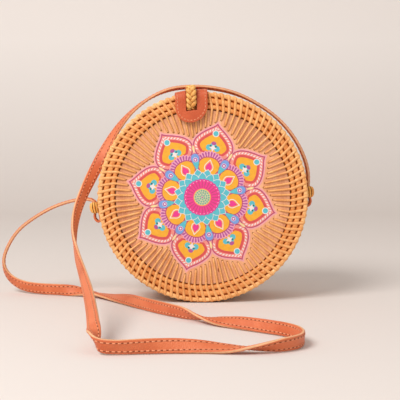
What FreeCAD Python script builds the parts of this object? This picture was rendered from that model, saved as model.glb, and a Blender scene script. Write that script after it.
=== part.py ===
import FreeCAD, Part
import math
import os

from FreeCAD import Vector

# Round rattan cross-body bag, in millimetres. X is to the wearer's right as the bag is
# seen from the front, the front faces -Y, Z is up. The origin is on the table, under the
# middle of the bag.

# Overall sizes
bag_radius = 100.0
lid_depth = 28.0
back_depth = 50.0

# Canes that make the rims
rim_cane_width = 5.2
rim_cane_depth = 4.4
rim_cane_pitch = 5.4
edge_cane_width = 3.0
edge_cane_depth = 3.0
crown_share = 0.55

# Strands that bind the face to the rim
strand_count = 96
strand_width = 2.2
strand_thickness = 1.2
petal_count = 8
petal_turn_deg = 12.2
valley_hole_radius = 57.0
tip_hole_radius = 74.0
petal_sharpness = 1.5

# Face discs and walls
panel_thickness = 3.5
panel_recess = 1.6
wall_thickness = 3.0
wall_inset = 0.8
seat_gap = 0.3
parting_gap = 1.85

# Hinge lashings at the bottom of the parting line
lashing_offset = 18.0
lashing_width = 4.0
lashing_bore = 2.75
notch_clearance = 0.7

# Closure: a leather flap slit over a plaited cane hoop on the lid
closure_turn_deg = 6.5
leather_thickness = 2.0
flap_width = 30.7
flap_drop = 30.8
flap_bend_radius = 3.0
flap_joint_gap = 0.2
root_end_gap = 3.0
pivot_behind_parting = 2.5
slit_clearance = 0.75
closure_width = 10.0
closure_thickness = 3.8
closure_stand_off = 7.5
closure_foot_share = 0.84
closure_foot_height = 3.8
closure_rise = 4.2
closure_corner = 8.0
closure_rear_setback = 8.8
slit_end_clearance = 2.0
slit_rear_clearance = 1.8

# Strap and the lugs that hold it
strap_width = 11.0
strap_thickness = 2.6
strap_behind_parting = 11.0
lug_clearance = 0.7
lug_thickness = 3.0
lug_width = 8.0
lug_height = 11.2
lug_shoulder = 5.6
left_lug_deg = 96.3
right_lug_deg = -88.0
run_share = 0.45
strap_seat_radius = 103.6
tail_length = 16.0
tail_bow = 3.0

# Cutting tools run this far past what they cut
overrun = 1.0

# Places that follow from the sizes above
centre_z = bag_radius
total_depth = lid_depth + back_depth
leather_cover = seat_gap + leather_thickness
pivot_radius = bag_radius + leather_cover
pivot_from_front = lid_depth + pivot_behind_parting
closure_reach = pivot_from_front + closure_stand_off
closure_foot_drop = closure_foot_share * math.sqrt(closure_reach**2 - pivot_from_front**2)
closure_foot_radius = pivot_radius - closure_foot_drop
flap_end_radius = pivot_radius - flap_drop
depth_shift = closure_stand_off / 2
front_y = depth_shift - total_depth / 2
back_y = front_y + total_depth
parting_y = front_y + lid_depth
pivot_y = parting_y + pivot_behind_parting
strap_y = parting_y + strap_behind_parting
wall_outer = bag_radius - wall_inset
wall_inner = wall_outer - wall_thickness
outer_hoop_radius = bag_radius - rim_cane_width / 2
middle_hoop_radius = outer_hoop_radius - rim_cane_pitch
inner_hoop_radius = middle_hoop_radius - rim_cane_pitch
panel_radius = inner_hoop_radius - rim_cane_width / 2 - seat_gap
edge_hoop_radius = wall_outer - edge_cane_width / 2
edge_spacing = parting_gap + edge_cane_depth
lid_edge_y = parting_y - edge_spacing / 2
back_edge_y = parting_y + edge_spacing / 2
hinge_z = centre_z - math.sqrt(edge_hoop_radius**2 - lashing_offset**2)
notch_radius = hinge_z + notch_clearance
middle = Vector(0, 0, centre_z)
depth_axis = Vector(0, 1, 0)

# The strap's route from the left lug, over the table in front, up the left side and over
# the top to the right lug. Each row is a point, then the direction across the strap there.
strap_route = [
    (-102.5, 3.75, 84.7, (0, 1, 0)),
    (-103.8, 3.75, 96.8, (0, 1, 0)),
    (-115.5, 5.0, 100.0, (0, 1, 0)),
    (-130.0, 10.0, 97.2, (0, 1, -0.1)),
    (-147.5, 16.0, 90.5, (0, 1, -0.1)),
    (-166.0, 22.0, 81.0, (0, 1, -0.2)),
    (-183.0, 27.0, 68.0, (0, 1, -0.3)),
    (-195.0, 30.5, 51.5, (0.2, 1, -0.4)),
    (-201.5, 32.0, 33.5, (0.1, 1, -0.4)),
    (-196.5, 34.0, 17.0, (-0.3, 0.75, -0.5)),
    (-181.0, 34.5, 8.0, (-0.25, 0.45, -0.8)),
    (-160.0, 31.0, 6.0, (0, 0.25, -1)),
    (-139.0, 25.5, 6.0, (0, 0.35, -1)),
    (-119.5, 17.0, 5.9, (0, 0.7, -0.9)),
    (-103.0, 4.0, 5.4, (-0.2, 0.8, -0.5)),
    (-88.0, -14.0, 5.8, (-0.3, 0.7, -0.8)),
    (-73.0, -38.5, 6.0, (-0.1, 0.3, -1)),
    (-57.0, -63.5, 5.8, (0, 0.1, -1)),
    (-39.0, -88.0, 5.9, (0, 0, -1)),
    (-21.0, -108.0, 6.0, (0.3, 0.2, -1)),
    (-6.0, -123.0, 3.7, (0.7, 0.7, -0.3)),
    (8.0, -138.0, 4.2, (0.6, 0.7, 0.5)),
    (25.0, -154.0, 5.8, (0.2, 0.45, 1)),
    (43.0, -168.5, 5.7, (0, 0.4, 1)),
    (60.0, -184.0, 5.8, (0, 0.2, 1)),
    (70.5, -204.5, 5.8, (0, 0, 1)),
    (67.0, -228.5, 5.8, (0.1, -0.1, 1)),
    (51.0, -243.5, 5.9, (0, -0.35, 1)),
    (31.0, -246.5, 4.7, (0, -1, 0.75)),
    (12.0, -243.5, 2.4, (0, -1, 0)),
    (-8.0, -241.5, 4.2, (0, -0.9, -0.55)),
    (-29.0, -243.5, 5.2, (0, -0.65, -0.8)),
    (-50.0, -248.5, 5.8, (0, -0.3, -1)),
    (-70.0, -253.5, 5.9, (0, 0, -1)),
    (-84.0, -252.5, 7.0, (0.15, -0.1, -1)),
    (-87.5, -238.0, 10.5, (0.8, 0, -0.8)),
    (-89.5, -218.0, 15.8, (1, 0, -0.2)),
    (-93.0, -192.0, 23.0, (1, -0.1, 0)),
    (-98.5, -160.0, 32.5, (1, -0.2, 0)),
    (-105.0, -129.0, 42.5, (0.85, -0.1, 0.5)),
    (-111.5, -98.0, 54.0, (0.35, -0.3, 0.85)),
    (-116.5, -70.0, 68.0, (-0.35, -0.44, 0.83)),
    (-117.0, -45.5, 86.0, (-0.8, -0.3, 0.55)),
    (-111.5, -26.0, 105.0, (-0.9, -0.1, 0.4)),
    (-104.0, -12.0, 124.5, (-0.85, 0.3, 0.45)),
    (-94.5, -3.0, 144.0, (-0.6, 0.75, 0.4)),
    (-83.5, 1.0, 163.0, (-0.25, 0.95, 0.15)),
    (-69.5, 3.75, 180.5, (0, 1, 0)),
    (-52.5, 3.75, 194.5, (0, 1, 0)),
    (-32.5, 3.75, 203.3, (0, 1, 0)),
    (-11.0, 3.75, 206.3, (0, 1, 0)),
    (11.5, 3.75, 205.0, (0, 1, 0)),
    (33.5, 3.75, 200.0, (0, 1, 0)),
    (54.5, 3.75, 190.0, (0, 1, 0)),
    (73.5, 3.75, 175.0, (0, 1, 0)),
    (88.5, 3.75, 156.5, (0, 1, 0)),
    (99.0, 3.75, 135.5, (0, 1, 0)),
    (103.0, 3.75, 116.5, (0, 1, 0)),
    (103.6, 3.75, 99.6, (0, 1, 0)),
]


def save(name, shape):
    shape.exportStep(f"parts/{name}.step")


def turned(shape, degrees):
    """A copy of shape turned about the bag's own axis, anticlockwise from the front."""
    copy = shape.copy()
    copy.rotate(middle, depth_axis, -degrees)
    return copy


def polygon(points):
    return Part.makePolygon(points + points[:1])


def revolved(outline):
    """A ring about the bag's axis from a closed outline of (radius, y)."""
    wire = polygon([Vector(radius, y, centre_z) for radius, y in outline])
    return Part.Face(wire).revolve(middle, depth_axis, 360)


def cylinder(radius, low_y, high_y):
    return Part.makeCylinder(radius, high_y - low_y, Vector(0, low_y, centre_z), depth_axis)


def split_cane(radius, foot_y, out, width, depth):
    """A split cane bent into a hoop: its flat foot inwards, its crown outwards (out = -1 or 1)."""
    crown_y = foot_y + out * depth
    foot = width / 2
    crown = foot * crown_share
    outline = [
        (radius - foot, foot_y),
        (radius - crown, crown_y),
        (radius + crown, crown_y),
        (radius + foot, foot_y),
    ]
    return revolved(outline)


def face_y(out):
    """The outermost plane of the front (out = -1) or the back (out = 1)."""
    return front_y if out < 0 else back_y


def hoop_y(out):
    """The crowns' plane: under the strands in front, and the face itself at the back."""
    return front_y + strand_thickness if out < 0 else back_y


def panel_y(out):
    return hoop_y(out) - out * panel_recess


def panel_inner_y(out):
    return panel_y(out) - out * panel_thickness


def rim_hoop(radius, out):
    return split_cane(radius, hoop_y(out) - out * rim_cane_depth, out, rim_cane_width, rim_cane_depth)


def edge_hoop(foot_y, out):
    return split_cane(edge_hoop_radius, foot_y, out, edge_cane_width, edge_cane_depth)


def panel(out):
    """The round face: wood in front, and at the back a coiled disc that reaches the outer hoop."""
    radius = panel_radius if out < 0 else outer_hoop_radius - rim_cane_width / 2
    return cylinder(radius, *sorted((panel_y(out), panel_inner_y(out))))


def hole_radius(angle):
    """How far out a strand leaves its hole: the holes follow the petals' outline."""
    step = 360.0 / petal_count
    from_tip = abs((angle + petal_turn_deg + step / 2) % step - step / 2)
    share = 1 - from_tip / (step / 2)
    return valley_hole_radius + (tip_hole_radius - valley_hole_radius) * share**petal_sharpness


def strand(angle):
    """One strand: out of its hole in the disc, pulled straight up to the rim and over its hoops."""
    hole = hole_radius(angle)
    crown_start = inner_hoop_radius - rim_cane_width * crown_share / 2
    crown_end = outer_hoop_radius + rim_cane_width * crown_share / 2
    low, high = panel_y(-1), hoop_y(-1)
    outline = [
        (hole - strand_thickness, low),
        (hole, low),
        (crown_start, high),
        (crown_end, high),
        (crown_end - strand_thickness, front_y),
        (crown_start, front_y),
    ]
    wire = polygon([Vector(-strand_width / 2, y, centre_z + radius) for radius, y in outline])
    return turned(Part.Face(wire).extrude(Vector(strand_width, 0, 0)), angle)


def strands():
    step = 360.0 / strand_count
    return Part.makeCompound([strand((number + 0.5) * step) for number in range(strand_count)])


def hinge_notch():
    """Room for the two lashings in whatever they pass."""
    width = lashing_width + 2 * seat_gap
    tools = []
    for side in (-1, 1):
        for y in (lid_edge_y, back_edge_y):
            start = Vector(side * lashing_offset - width / 2, y, hinge_z)
            tools.append(Part.makeCylinder(notch_radius, width, start, Vector(1, 0, 0)))
    return tools


def wall(low_y, high_y):
    outline = [
        (wall_inner, low_y),
        (wall_outer, low_y),
        (wall_outer, high_y),
        (wall_inner, high_y),
    ]
    return revolved(outline).cut(hinge_notch())


def lashing(side):
    """A flat strip bound round both edge canes, loose enough for the lid's one to turn in it."""
    strip = hinge_z - lashing_bore
    x = side * lashing_offset - lashing_width / 2

    def band(radius):
        corner = radius * math.tan(math.pi / 8)
        lid_side, back_side = lid_edge_y - radius, back_edge_y + radius
        outline = [
            (lid_edge_y - corner, hinge_z - radius),
            (back_edge_y + corner, hinge_z - radius),
            (back_side, hinge_z - corner),
            (back_side, hinge_z + corner),
            (back_edge_y + corner, hinge_z + radius),
            (lid_edge_y - corner, hinge_z + radius),
            (lid_side, hinge_z + corner),
            (lid_side, hinge_z - corner),
        ]
        return Part.Face(polygon([Vector(x, y, z) for y, z in outline]))

    return band(lashing_bore + strip).cut(band(lashing_bore)).extrude(Vector(lashing_width, 0, 0))


def local(y, radius, x=0):
    """A point of the closure or a lug before it is turned to its place on the rim."""
    return Vector(x, y, centre_z + radius)


def arc(start, through, end):
    return Part.Arc(start, through, end).toShape()


def on_wall(shape):
    """What of shape stands on the wall between the two rims."""
    return shape.cut(cylinder(wall_outer, hoop_y(-1) + rim_cane_depth, hoop_y(1) - rim_cane_depth))


def closure_hoop():
    """A plaited hoop from the face of the lid, round its corner, to the lid's wall."""
    half = closure_width / 2
    outer, inner = closure_reach, closure_reach - closure_thickness

    def rim_point(reach, radius):
        return local(pivot_y - math.sqrt(reach**2 - (pivot_radius - radius) ** 2), radius, -half)

    top = pivot_radius + closure_rise
    front_top = top - closure_corner
    foot_top = closure_foot_radius + closure_foot_height
    rear_y = pivot_y - closure_rear_setback
    diagonal = closure_corner * (1 - math.sqrt(0.5))
    outer_front, inner_front = rim_point(outer, front_top), rim_point(inner, front_top)
    inner_corner = closure_corner - closure_thickness
    inner_diagonal = inner_corner * (1 - math.sqrt(0.5))
    inner_rear_y = rear_y - closure_thickness
    inner_top = top - closure_thickness
    edges = [
        Part.makeLine(local(front_y, closure_foot_radius, -half), rim_point(outer, closure_foot_radius)),
        arc(
            rim_point(outer, closure_foot_radius),
            rim_point(outer, (closure_foot_radius + front_top) / 2),
            outer_front,
        ),
        arc(
            outer_front,
            local(outer_front.y + diagonal, top - diagonal, -half),
            local(outer_front.y + closure_corner, top, -half),
        ),
        Part.makeLine(
            local(outer_front.y + closure_corner, top, -half),
            local(rear_y - closure_corner / 2, top, -half),
        ),
        arc(
            local(rear_y - closure_corner / 2, top, -half),
            local(rear_y - diagonal / 2, top - diagonal / 2, -half),
            local(rear_y, top - closure_corner / 2, -half),
        ),
        Part.makeLine(local(rear_y, top - closure_corner / 2, -half), local(rear_y, wall_inner, -half)),
        Part.makeLine(local(rear_y, wall_inner, -half), local(inner_rear_y, wall_inner, -half)),
        Part.makeLine(local(inner_rear_y, wall_inner, -half), local(inner_rear_y, inner_top, -half)),
        Part.makeLine(
            local(inner_rear_y, inner_top, -half), local(inner_front.y + inner_corner, inner_top, -half)
        ),
        arc(
            local(inner_front.y + inner_corner, inner_top, -half),
            local(inner_front.y + inner_diagonal, inner_top - inner_diagonal, -half),
            local(inner_front.y, inner_top - inner_corner, -half),
        ),
        Part.makeLine(local(inner_front.y, inner_top - inner_corner, -half), rim_point(inner, foot_top)),
        Part.makeLine(rim_point(inner, foot_top), local(front_y, foot_top, -half)),
        Part.makeLine(local(front_y, foot_top, -half), local(front_y, closure_foot_radius, -half)),
    ]
    hoop = Part.Face(Part.Wire(edges)).extrude(Vector(closure_width, 0, 0))
    return turned(on_wall(hoop), closure_turn_deg)


def round_ended(long_way, end, other_end):
    """A cutter as wide as the leather, with a half-round end: long_way(distance, x) gives its points."""
    half = flap_width / 2
    out = 1 if other_end > end else -1
    shoulder = end + out * half
    return Part.Face(
        Part.Wire(
            [
                arc(long_way(shoulder, -half), long_way(end, 0), long_way(shoulder, half)),
                Part.makeLine(long_way(shoulder, half), long_way(other_end, half)),
                Part.makeLine(long_way(other_end, half), long_way(other_end, -half)),
                Part.makeLine(long_way(other_end, -half), long_way(shoulder, -half)),
            ]
        )
    )


def leather_strip():
    """Leather from the pivot over the lid's corner and down its face, with a half-round end."""
    half = flap_width / 2
    bend = flap_bend_radius
    face = front_y - seat_gap
    outer_face = face - leather_thickness
    top = pivot_radius - leather_thickness
    diagonal = 1 - math.sqrt(0.5)
    outer_bend = bend + leather_thickness
    end = flap_end_radius
    edges = [
        Part.makeLine(local(pivot_y, top, -half), local(face + bend, top, -half)),
        arc(
            local(face + bend, top, -half),
            local(face + bend * diagonal, top - bend * diagonal, -half),
            local(face, top - bend, -half),
        ),
        Part.makeLine(local(face, top - bend, -half), local(face, end, -half)),
        Part.makeLine(local(face, end, -half), local(outer_face, end, -half)),
        Part.makeLine(local(outer_face, end, -half), local(outer_face, pivot_radius - outer_bend, -half)),
        arc(
            local(outer_face, pivot_radius - outer_bend, -half),
            local(outer_face + outer_bend * diagonal, pivot_radius - outer_bend * diagonal, -half),
            local(outer_face + outer_bend, pivot_radius, -half),
        ),
        Part.makeLine(
            local(outer_face + outer_bend, pivot_radius, -half), local(pivot_y, pivot_radius, -half)
        ),
        Part.makeLine(local(pivot_y, pivot_radius, -half), local(pivot_y, top, -half)),
    ]
    strip = Part.Face(Part.Wire(edges)).extrude(Vector(flap_width, 0, 0))
    start_y = outer_face - overrun
    cutter = round_ended(lambda radius, x: local(start_y, radius, x), end, pivot_radius + overrun)
    return strip.common(cutter.extrude(Vector(0, pivot_y + overrun - start_y, 0)))


def closure_flap():
    strip = leather_strip()
    width = closure_width + 2 * slit_clearance
    mid_y = front_y - seat_gap - leather_thickness / 2
    drop = math.sqrt((closure_reach + slit_end_clearance) ** 2 - (pivot_y - mid_y) ** 2)
    low = pivot_radius - drop
    start_y = front_y - leather_cover - overrun
    end_y = pivot_y - closure_rear_setback + slit_rear_clearance
    slit = Part.makeBox(
        width, end_y - start_y, pivot_radius + overrun - low, local(start_y, low, -width / 2)
    )
    return turned(strip.cut(slit), closure_turn_deg)


def flap_root():
    """The leather's fixed end, doubled and sewn down along the top of the back shell."""
    start_y = pivot_y + flap_joint_gap
    end_y = hoop_y(1) - rim_cane_depth - root_end_gap
    outline = [
        (wall_outer, start_y),
        (pivot_radius, start_y),
        (pivot_radius, end_y),
        (wall_outer, end_y),
    ]
    cutter = round_ended(lambda y, x: local(y, 0, x), end_y, start_y - overrun)
    root = revolved(outline).common(cutter.extrude(Vector(0, 0, pivot_radius + overrun)))
    return turned(root, closure_turn_deg)


def lug(turn_deg):
    """A bound cane arch over the strap, standing on the back shell's wall."""
    hole = strap_width / 2 + lug_clearance
    across = hole + lug_thickness
    top = wall_outer + lug_height
    shoulder = wall_outer + lug_shoulder
    low = wall_inner
    x = -lug_width / 2
    edges = [
        Part.makeLine(local(strap_y - across, low, x), local(strap_y - across, shoulder, x)),
        arc(
            local(strap_y - across, shoulder, x),
            local(strap_y, top, x),
            local(strap_y + across, shoulder, x),
        ),
        Part.makeLine(local(strap_y + across, shoulder, x), local(strap_y + across, low, x)),
        Part.makeLine(local(strap_y + across, low, x), local(strap_y + hole, low, x)),
        Part.makeLine(local(strap_y + hole, low, x), local(strap_y + hole, shoulder, x)),
        arc(
            local(strap_y + hole, shoulder, x),
            local(strap_y, top - lug_thickness, x),
            local(strap_y - hole, shoulder, x),
        ),
        Part.makeLine(local(strap_y - hole, shoulder, x), local(strap_y - hole, low, x)),
        Part.makeLine(local(strap_y - hole, low, x), local(strap_y - across, low, x)),
    ]
    arch = Part.Face(Part.Wire(edges)).extrude(Vector(lug_width, 0, 0))
    return turned(on_wall(arch), turn_deg)


def strap_tail(turn_deg, down):
    """The strap's end below its lug: on out of the lug, bowed out and back to the wall."""
    inner = strap_seat_radius - strap_thickness / 2
    start, end = down * lug_width / 2, down * (lug_width / 2 + tail_length)
    half_way = (start + end) / 2
    y = strap_y - strap_width / 2
    outer, foot = inner + strap_thickness, wall_inner
    edges = [
        arc(local(y, inner, start), local(y, inner + tail_bow, half_way), local(y, foot, end)),
        Part.makeLine(local(y, foot, end), local(y, foot + strap_thickness, end)),
        arc(
            local(y, foot + strap_thickness, end),
            local(y, outer + tail_bow, half_way),
            local(y, outer, start),
        ),
        Part.makeLine(local(y, outer, start), local(y, inner, start)),
    ]
    bow = Part.Face(Part.Wire(edges)).extrude(Vector(0, strap_width, 0))
    return turned(on_wall(bow), turn_deg)


def mixed(first, second, share):
    return (first * (1 - share) + second * share).normalize()


def strap_stations():
    """Straight runs joined by tangent arcs, as (place, direction, way across) at each station."""
    points = [Vector(x, y, z) for x, y, z, across in strap_route]
    ways = [Vector(*across).normalize() for x, y, z, across in strap_route]
    stations = [(points[0], (points[1] - points[0]).normalize(), ways[0])]
    radii = []
    for number in range(1, len(points) - 1):
        point, way = points[number], ways[number]
        arriving, leaving = point - points[number - 1], points[number + 1] - point
        setback = run_share * min(arriving.Length, leaving.Length)
        way_in = mixed(way, ways[number - 1], setback / arriving.Length)
        way_out = mixed(way, ways[number + 1], setback / leaving.Length)
        radius = setback / math.tan(arriving.getAngle(leaving) / 2)
        radii.append(radius)
        arriving.normalize()
        leaving.normalize()
        inward = (leaving - arriving).normalize()
        halfway = point + inward * (math.hypot(radius, setback) - radius)
        stations.append((point - arriving * setback, arriving, way_in))
        stations.append((halfway, (arriving + leaving).normalize(), way))
        stations.append((point + leaving * setback, leaving, way_out))
    stations.append((points[-1], (points[-1] - points[-2]).normalize(), ways[-1]))
    print("strap arcs, radii in mm:", " ".join(f"{radius:.0f}" for radius in radii))
    return stations


def strap_sections(stations):
    """The four corners of the strap at each station, square to its direction there."""
    sections = []
    for place, along, way in stations:
        across = (way - along * way.dot(along)).normalize() * (strap_width / 2)
        up = along.cross(across).normalize() * (strap_thickness / 2)
        near, far = place - across, place + across
        sections.append([far + up, near + up, near - up, far - up])
    return sections


def strap():
    """The whole strap as one flat strip, each of its four sides a chain of flat facets."""
    stations = strap_stations()
    sections = strap_sections(stations)
    faces = [Part.Face(polygon(sections[0])), Part.Face(polygon(sections[-1]))]
    twists = []
    for before, after in zip(sections, sections[1:]):
        twists.append(math.degrees((before[0] - before[1]).getAngle(after[0] - after[1])))
        for corner in range(len(before)):
            following = (corner + 1) % len(before)
            faces.append(Part.Face(polygon([before[corner], before[following], after[following]])))
            faces.append(Part.Face(polygon([before[corner], after[following], after[corner]])))
    solid = Part.Solid(Part.Shell(faces))
    places = [place for place, along, way in stations]
    length = sum((after - before).Length for before, after in zip(places, places[1:]))
    filled = solid.Volume / (strap_width * strap_thickness * length)
    print(f"strap {length:.0f} mm long, volume over section times length {filled:.3f}")
    print(f"sharpest twist between stations {max(twists):.0f} degrees")
    print(f"lowest point {solid.BoundBox.ZMin:.2f} mm")
    return solid


def build():
    os.makedirs("parts", exist_ok=True)
    lid_wall_start = hoop_y(-1) + rim_cane_depth
    lid_wall_end = lid_edge_y - edge_cane_depth / 2
    back_wall_start = back_edge_y + edge_cane_depth / 2
    back_wall_end = hoop_y(1) - rim_cane_depth
    save("front_panel", panel(-1))
    save("front_strands", strands())
    save("front_inner_hoop", rim_hoop(inner_hoop_radius, -1))
    save("front_middle_hoop", rim_hoop(middle_hoop_radius, -1))
    save("front_outer_hoop", rim_hoop(outer_hoop_radius, -1))
    save("lid_wall", wall(lid_wall_start, lid_wall_end))
    save("lid_edge_hoop", edge_hoop(lid_wall_end, 1))
    save("closure_hoop", closure_hoop())
    save("back_panel", panel(1))
    save("back_outer_hoop", rim_hoop(outer_hoop_radius, 1))
    save("back_wall", wall(back_wall_start, back_wall_end))
    save("back_edge_hoop", edge_hoop(back_wall_start, -1))
    save("left_lashing", lashing(-1))
    save("right_lashing", lashing(1))
    save("left_lug", lug(left_lug_deg))
    save("right_lug", lug(right_lug_deg))
    save("flap_root", flap_root())
    save("closure_flap", closure_flap())
    save("shoulder_strap", strap())
    save("left_strap_tail", strap_tail(left_lug_deg, -1))
    save("right_strap_tail", strap_tail(right_lug_deg, 1))


build()
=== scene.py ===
import random
from math import atan2, cos, hypot, pi, radians, sin, sqrt, tau

import bpy
import numpy as np
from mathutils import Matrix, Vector


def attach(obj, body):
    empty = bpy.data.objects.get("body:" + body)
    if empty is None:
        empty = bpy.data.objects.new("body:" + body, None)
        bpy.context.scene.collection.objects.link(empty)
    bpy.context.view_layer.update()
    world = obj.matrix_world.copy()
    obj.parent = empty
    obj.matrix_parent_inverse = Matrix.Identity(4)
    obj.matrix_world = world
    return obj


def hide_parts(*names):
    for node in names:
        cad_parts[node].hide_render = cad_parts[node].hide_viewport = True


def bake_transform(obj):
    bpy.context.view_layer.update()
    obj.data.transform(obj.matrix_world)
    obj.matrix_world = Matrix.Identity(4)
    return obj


# Lengths are in millimetres until a mesh is made. The bag's centre is at x = 0, z = centre_z,
# the front faces -Y, and angles are counted anticlockwise from the top as seen in front.

mm = 0.001
centre_z = 100.0

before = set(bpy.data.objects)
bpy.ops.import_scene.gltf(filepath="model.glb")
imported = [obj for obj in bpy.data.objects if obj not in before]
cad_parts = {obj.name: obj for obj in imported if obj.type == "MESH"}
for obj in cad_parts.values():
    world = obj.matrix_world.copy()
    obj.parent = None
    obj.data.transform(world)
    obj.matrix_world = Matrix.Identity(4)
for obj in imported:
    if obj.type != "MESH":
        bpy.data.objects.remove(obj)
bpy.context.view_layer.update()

# Planes and radii of the CAD parts
crown_y = -34.05
between_y = -33.6
foot_y = -29.65
panel_y = -32.45
panel_back_y = -28.95
panel_radius = 82.5
hoop_radii = (85.75, 91.35, 97.3)
hoop_halves = (2.45, 3.15, 2.8)
rim_radius = 100.0
wall_outer = 99.2
wall_inner = 96.2
lid_wall_end = -11.175
lid_notch_y = -14.5
lid_edge_y = -9.675
back_edge_y = -4.825
back_wall_start = -3.325
back_notch_y = 0.0
back_wall_end = 38.35
back_rim_radius = 97.4
back_rim_y = 40.55
edge_hoop_radius = 97.7
edge_half = 1.5
strap_y = 3.75
lashing_offset = 18.0
lashing_width = 4.0
hinge_z = 3.972

# The closure
closure_turn = 6.5
tab_width = 30.2
tab_thickness = 2.0
tab_top_radius = 101.3
tab_front_y = -36.55
tab_bend = 6.0
tab_root_y = 35.35
tab_end_radius = 71.5
tab_slit_half = 5.1
tab_lean = 0.085
tab_top_run = tab_root_y - tab_front_y - tab_bend
tab_bend_run = tab_bend * pi / 2
tab_length = tab_top_run + tab_bend_run + tab_top_radius - tab_bend - tab_end_radius
tab_slit_start = tab_root_y + 11.75
tab_slit_end = tab_length - 11.2
pivot = (-11.581, -4.75, 201.642)

# The lugs and the strap's ends
left_lug_turn = 96.3
right_lug_turn = -88.0
lug_half_span = 7.7
lug_foot_radius = 96.8
lug_shoulder_radius = 104.4
lug_top_radius = 108.9

# The painting on the panel
paint_step = 0.03
paint_x = -0.9
paint_z = 100.4
ray_ring_radius = 44.0
ray_middle = 29.0

# The knot in the wood
knot_x = 14.8
knot_z = 31.3
knot_width = 2.8
knot_height = 5.6

# The face's strands
strand_count = 96
strand_step = 360.0 / strand_count
rim_slant = 3.0
slant_start = 84.0
petal_count = 8
petal_turn = -12.2
hole_gap = 3.3
drill_radius = 1.0

# Stitches round the walls and windings round the edge hoops
wall_stitches = 190
edge_wraps = 150
back_rim_wraps = 104

# The strap
strap_width = 11.0
strap_thickness = 2.6

# Each row is a point of the strap's route, x, y and z, and then the direction across the strap there
strap_route = [
    (-102.5, 3.75, 84.7, 0, 1, 0),
    (-103.5, 3.75, 94.8, 0, 1, 0),
    (-114, 5, 97.2, -0.1, 1, 0),
    (-130, 10, 94.2, -0.15, 1, -0.1),
    (-147.5, 16, 88, -0.15, 1, -0.1),
    (-166, 22, 77.6, -0.15, 1, -0.1),
    (-183, 27, 65, -0.15, 1, -0.1),
    (-194, 30.5, 49.5, -0.15, 1, -0.1),
    (-200.5, 32, 32.5, -0.15, 1, -0.15),
    (-196, 34, 16.5, -0.3, 0.75, -0.5),
    (-181.5, 27, 8, -0.25, 0.45, -0.8),
    (-162, 17.5, 6.3, 0, 0.25, -1),
    (-140.5, 11.5, 6.3, 0, 0.2, -1),
    (-120, 8.5, 4.7, -0.35, -0.78, -0.5),
    (-104, 0, 3.5, -0.65, -0.72, 0.2),
    (-88.5, -17, 3.4, -0.64, -0.74, -0.15),
    (-73, -42, 5.5, -0.61, -0.35, -0.71),
    (-57, -69, 6.2, -0.1, -0.1, -1),
    (-39, -95, 6.2, 0, 0, -1),
    (-21, -116, 6.2, 0.2, 0.2, -1),
    (-5, -132, 4.3, 0.7, 0.7, -0.4),
    (9, -147, 4.3, 0.6, 0.7, 0.4),
    (26, -162, 5.7, 0.2, 0.6, 0.8),
    (43, -176.5, 6, 0, 0.45, 1),
    (60, -191.5, 6.1, 0, 0.2, 1),
    (70.5, -211.5, 6.1, 0, 0, 1),
    (67, -235, 6.1, 0.1, -0.1, 1),
    (51, -248.5, 6.2, 0, -0.4, 1),
    (31, -250.5, 4.6, 0, -1, 0.5),
    (12, -248, 3.2, 0, -1, -0.25),
    (-8, -246, 4.8, 0, -0.85, -0.75),
    (-29, -247, 5.9, 0, -0.4, -0.95),
    (-50, -249.5, 6.2, 0, 0.05, -1),
    (-70, -253, 6.2, 0, 0.3, -1),
    (-84, -252.5, 7.2, 0.15, 0.25, -1),
    (-87.5, -238, 10.5, 0.8, 0, -0.8),
    (-89.5, -218, 15.8, 0.75, -0.2, 0.5),
    (-93, -192, 23, 0.68, -0.2, 0.7),
    (-98.5, -160, 32.5, 0.6, -0.3, 0.75),
    (-105.5, -129, 42.5, 0.38, -0.37, 0.87),
    (-113.3, -98, 54, 0.15, -0.4, 0.9),
    (-118.8, -70, 68, -0.2, -0.5, 0.85),
    (-118.8, -45.5, 86, -0.43, -0.55, 0.68),
    (-113, -26, 105, -0.57, -0.5, 0.63),
    (-104, -12, 124.5, -0.8, -0.1, 0.6),
    (-94.5, -3, 144, -0.75, 0.5, 0.45),
    (-84, 1, 163.5, -0.45, 0.86, 0.28),
    (-70, 3, 181, -0.22, 0.97, 0.1),
    (-52.5, 3.75, 194.8, -0.08, 1, 0),
    (-32.5, 3.75, 203.8, 0, 1, -0.12),
    (-11, 3.75, 206.3, 0, 1, -0.14),
    (11.5, 3.75, 205, 0, 1, -0.14),
    (33.5, 3.75, 200, 0, 1, -0.1),
    (54.5, 3.75, 190, 0, 1, 0),
    (74.5, 3.75, 176, 0, 1, 0),
    (90.5, 3.75, 157.5, 0, 1, 0),
    (101.5, 3.75, 136.5, 0, 1, 0),
    (105.6, 3.75, 117, 0, 1, 0),
    (103.6, 3.75, 99.6, 0, 1, 0),
]

random.seed(7)


# Materials. A node's scale is in bumps per metre, and a bump's height is in metres.


def srgb(red, green, blue):
    """Linear values of a colour given in the 0 to 255 of a screen."""
    shares = [value / 255 for value in (red, green, blue)]
    return tuple(s / 12.92 if s <= 0.04045 else ((s + 0.055) / 1.055) ** 2.4 for s in shares)


def graph(name, roughness, sheen=0.0, coat=0.0):
    """A new material, its node tree and its Principled shader."""
    material = bpy.data.materials.new(name)
    material.use_nodes = True
    tree = material.node_tree
    shader = tree.nodes["Principled BSDF"]
    shader.inputs["Roughness"].default_value = roughness
    shader.inputs["Sheen Weight"].default_value = sheen
    shader.inputs["Coat Weight"].default_value = coat
    return material, tree, shader


def feed(tree, socket, value):
    """Sets a socket's value, or joins another node's output to it."""
    if isinstance(value, bpy.types.NodeSocket):
        tree.links.new(value, socket)
    else:
        socket.default_value = value


def node(tree, kind, **inputs):
    made = tree.nodes.new(f"ShaderNode{kind}")
    for name, value in inputs.items():
        feed(tree, made.inputs[name], value)
    return made


def place_on_piece(tree):
    return node(tree, "TexCoord").outputs["Object"]


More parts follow.
